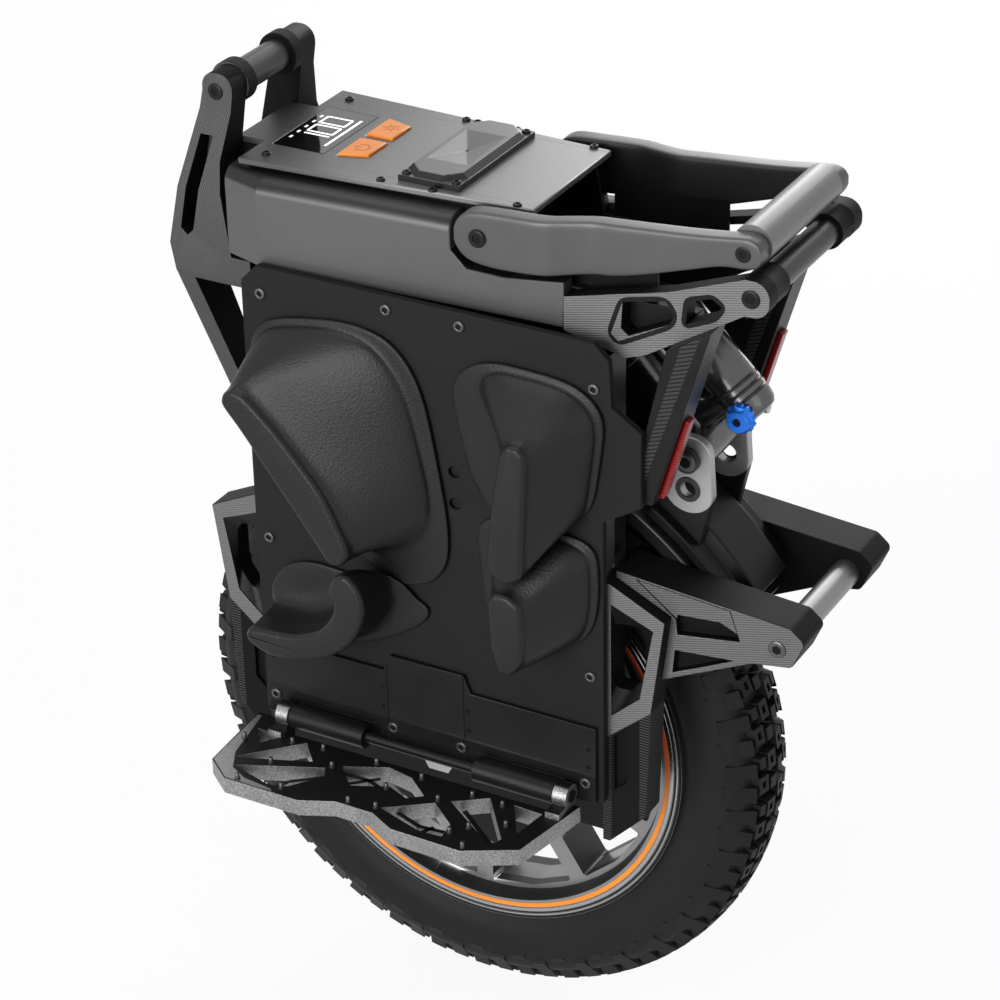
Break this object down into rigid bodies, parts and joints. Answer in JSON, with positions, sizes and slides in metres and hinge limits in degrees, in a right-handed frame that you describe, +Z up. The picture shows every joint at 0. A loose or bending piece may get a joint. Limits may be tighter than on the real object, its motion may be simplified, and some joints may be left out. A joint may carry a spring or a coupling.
{
  "type": "electric unicycle",
  "caption": "Self-balancing single-wheel rider with a sprung body on a fork, folding pedals, knee pads, carrying handles, lift bail and rear bumper.",
  "frame": {"origin": "on the ground, straight below the middle of the axle", "axes": "+X forwards, +Y to the rider's left along the axle, +Z up"},
  "size_m": [0.5607, 0.412, 0.788],
  "materials": {
    "tyre": "moulded rubber",
    "rim_alloy": "cast, satin grey",
    "motor_black": "satin black",
    "steel": "machined",
    "stator": "wound core",
    "fork_grey": "satin grey",
    "alloy_black": "satin black",
    "alloy_bright": "bead blasted",
    "guard_black": "matt moulded",
    "case_black": "matt moulded",
    "cells": "shrink wrapped",
    "board": "circuit board",
    "band_grey": "satin grey",
    "handle_grey": "satin grey",
    "tube_grey": "satin",
    "display": "gloss",
    "button_orange": "satin",
    "lamp_red": "translucent red",
    "lens": "clear lens",
    "panel_black": "fine grained",
    "pad_foam": "grained foam skin",
    "pedal_alloy": "machined, black top",
    "shock_grey": "anodised",
    "knob_blue": "anodised blue"
  },
  "bodies": {
    "frame": {"battery_cases": "case_black", "battery_packs": "cells", "controller_housing": "alloy_black", "controller_board": "board", "top_plate": "band_grey", "display_window": "display", "hatch_cover": "alloy_black", "upper_side_left": "band_grey", "upper_side_right": "band_grey", "front_upright_left": "fork_grey", "front_upright_right": "fork_grey", "front_handle_tube": "tube_grey", "rear_rails": "alloy_black", "rear_arm_left": "fork_grey", "rear_arm_right": "fork_grey", "rear_bar_tube": "tube_grey", "rear_pillars": "alloy_black", "tail_lights": "lamp_red", "side_panel_left": "panel_black", "side_panel_right": "panel_black", "front_upper_pad_left": "pad_foam", "front_upper_pad_right": "pad_foam", "toe_pad_left": "pad_foam", "toe_pad_right": "pad_foam", "rear_upper_pad_left": "pad_foam", "rear_upper_pad_right": "pad_foam", "rear_lower_pad_left": "pad_foam", "rear_lower_pad_right": "pad_foam", "pedal_hanger_left": "alloy_black", "pedal_hanger_right": "alloy_black", "hinge_pins": "steel", "headlight_housing": "alloy_black", "headlight_lens": "lens", "guide_rails": "steel", "shock_mount": "alloy_black", "fasteners": "steel"},
    "fork": {"fork_legs": "fork_grey", "axle_plates": "motor_black", "axle": "steel", "axle_nuts": "steel", "motor_stator": "stator", "link_plates": "alloy_bright", "link_bolt": "steel", "mudguard": "guard_black", "fork_bridge": "alloy_black", "bumper_arms": "fork_grey", "bumper_bar": "alloy_bright"},
    "wheel": {"tyre": "tyre", "rim": "rim_alloy", "motor_covers": "motor_black", "wheel_bearings": "steel"},
    "pedal_left_body": {"pedal_left": "pedal_alloy"},
    "pedal_right_body": {"pedal_right": "pedal_alloy"},
    "bail": {"bail_arms": "handle_grey", "bail_tube": "tube_grey"},
    "power_button_body": {"power_button": "button_orange"},
    "light_button_body": {"light_button": "button_orange"},
    "shock_lower": {"shock_body": "shock_grey"},
    "shock_upper": {"shock_can": "shock_grey"},
    "knob": {"shock_knob": "knob_blue"}
  },
  "joints": [
    {"name": "suspension_travel", "type": "slide", "parent": "frame", "child": "fork", "axis": [0, 0, 1], "range_m": [0, 0.06], "stiffness_N_per_m": 15000, "springref_m": -0.05},
    {"name": "wheel_spin", "type": "hinge", "parent": "fork", "child": "wheel", "pos_m": [0, 0, 0.254], "axis": [0, 1, 0], "continuous": true},
    {"name": "pedal_left_fold", "type": "hinge", "parent": "frame", "child": "pedal_left_body", "pos_m": [0, 0.116, 0.272], "axis": [1, 0, 0], "range_deg": [0, 65]},
    {"name": "pedal_right_fold", "type": "hinge", "parent": "frame", "child": "pedal_right_body", "pos_m": [0, -0.116, 0.272], "axis": [-1, 0, 0], "range_deg": [0, 65]},
    {"name": "bail_lift", "type": "hinge", "parent": "frame", "child": "bail", "pos_m": [-0.045, 0, 0.71], "axis": [0, 1, 0], "range_deg": [0, 100]},
    {"name": "power_button_press", "type": "slide", "parent": "frame", "child": "power_button_body", "axis": [0, 0, -1], "range_m": [0, 0.0012], "stiffness_N_per_m": 600},
    {"name": "light_button_press", "type": "slide", "parent": "frame", "child": "light_button_body", "axis": [0, 0, -1], "range_m": [0, 0.0012], "stiffness_N_per_m": 600},
    {"name": "shock_tilt", "type": "hinge", "parent": "fork", "child": "shock_lower", "pos_m": [-0.19092, 0, 0.54136], "axis": [0, 1, 0], "range_deg": [0, 17]},
    {"name": "shock_stroke", "type": "slide", "parent": "shock_lower", "child": "shock_upper", "axis": [-0.7071, 0, -0.7071], "range_m": [0, 0.037]},
    {"name": "knob_turn", "type": "hinge", "parent": "shock_lower", "child": "knob", "pos_m": [-0.22628, 0, 0.57671], "axis": [0, 1, 0], "range_deg": [0, 270]}
  ],
  "couplings": [
    {"joint": "shock_tilt", "follows": "suspension_travel", "rad_per_m": 4.8},
    {"joint": "shock_stroke", "follows": "suspension_travel", "ratio": 0.605}
  ]
}
